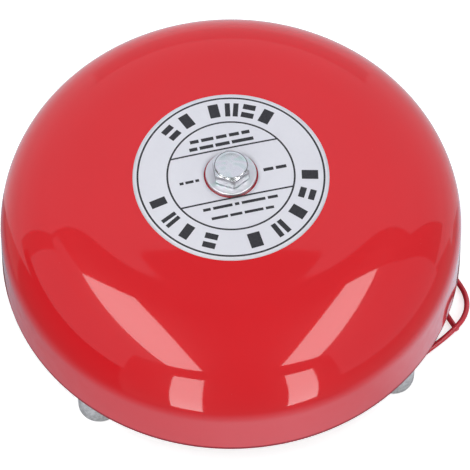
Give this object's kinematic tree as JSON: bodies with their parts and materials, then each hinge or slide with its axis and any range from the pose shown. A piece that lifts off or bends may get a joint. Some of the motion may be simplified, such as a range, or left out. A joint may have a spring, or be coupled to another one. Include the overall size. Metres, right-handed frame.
{
  "type": "fire alarm bell",
  "caption": "Round electric fire alarm bell: red dished gong with a printed label on a hex bolt, square cast base with corner fixing bosses, solenoid striker inside.",
  "frame": {"origin": "centre of the base's flat back face", "axes": "+Z along the gong's axis away from the wall, striker along -X, leads on the +X side"},
  "size_m": [0.1513, 0.15, 0.0609],
  "materials": {
    "gong_paint": "gloss red paint",
    "label_film": "satin printed film",
    "zinc_plate": "bright zinc plate",
    "cast_aluminium": "as cast",
    "rubber_black": "matte",
    "fibre": "vulcanised fibre",
    "cover_plastic": "fine texture",
    "steel": "machined",
    "nylon": "natural nylon",
    "copper": "enamelled copper wire",
    "tape": "polyester tape",
    "brass": "drawn tube",
    "pcb": "solder mask",
    "component": "moulded",
    "terminal_plastic": "moulded",
    "pvc_red": "PVC insulation",
    "pvc_blue": "PVC insulation"
  },
  "bodies": {
    "base": {"seat_washer": "fibre", "base_casting": "cast_aluminium", "cover_gasket": "rubber_black", "mechanism_cover": "cover_plastic", "cover_screws": "zinc_plate", "guide_bush": "nylon", "bumper_washer": "rubber_black", "yoke_frame": "zinc_plate", "yoke_bridge": "zinc_plate", "yoke_screws": "zinc_plate", "coil_bobbin": "nylon", "coil_winding": "copper", "coil_wrap": "tape", "core_tube": "brass", "pole_ring": "steel", "rear_bumper": "rubber_black", "return_spring": "steel", "circuit_board": "pcb", "board_components": "component", "board_screws": "zinc_plate", "terminal_block": "terminal_plastic", "terminal_screws": "brass", "cable_grommet": "rubber_black", "earth_washer": "zinc_plate", "earth_screw": "brass", "lead_a": "pvc_red", "lead_b": "pvc_red", "inner_lead_a": "pvc_red", "inner_lead_b": "pvc_red", "link_lead_1": "pvc_blue", "link_lead_2": "pvc_blue", "coil_lead_1": "pvc_blue", "coil_lead_2": "pvc_blue"},
    "striker": {"plunger": "steel", "striker_rod": "steel", "striker_tip": "nylon", "retaining_clip": "steel"},
    "gong": {"gong": "gong_paint", "gong_label": "label_film"},
    "bolt_washer": {"flat_washer": "zinc_plate"},
    "bolt": {"hex_bolt": "zinc_plate"}
  },
  "joints": [
    {"name": "striker_stroke", "type": "slide", "parent": "base", "child": "striker", "axis": [-1, 0, 0], "range_m": [0, 0.0052], "stiffness_N_per_m": 60, "springref_m": -0.002, "deforming": ["return_spring"]},
    {"name": "gong_lift", "type": "slide", "parent": "base", "child": "gong", "axis": [0, 0, 1], "range_m": [0, 0.065]},
    {"name": "bolt_rise", "type": "slide", "parent": "gong", "child": "bolt_washer", "axis": [0, 0, 1], "range_m": [0, 0.006]},
    {"name": "bolt_turn", "type": "hinge", "parent": "bolt_washer", "child": "bolt", "pos_m": [0, 0, 0.0562], "axis": [0, 0, 1], "range_deg": [0, 2161]}
  ],
  "couplings": [
    {"joint": "bolt_turn", "follows": "bolt_rise", "rad_per_m": 6283.2}
  ]
}
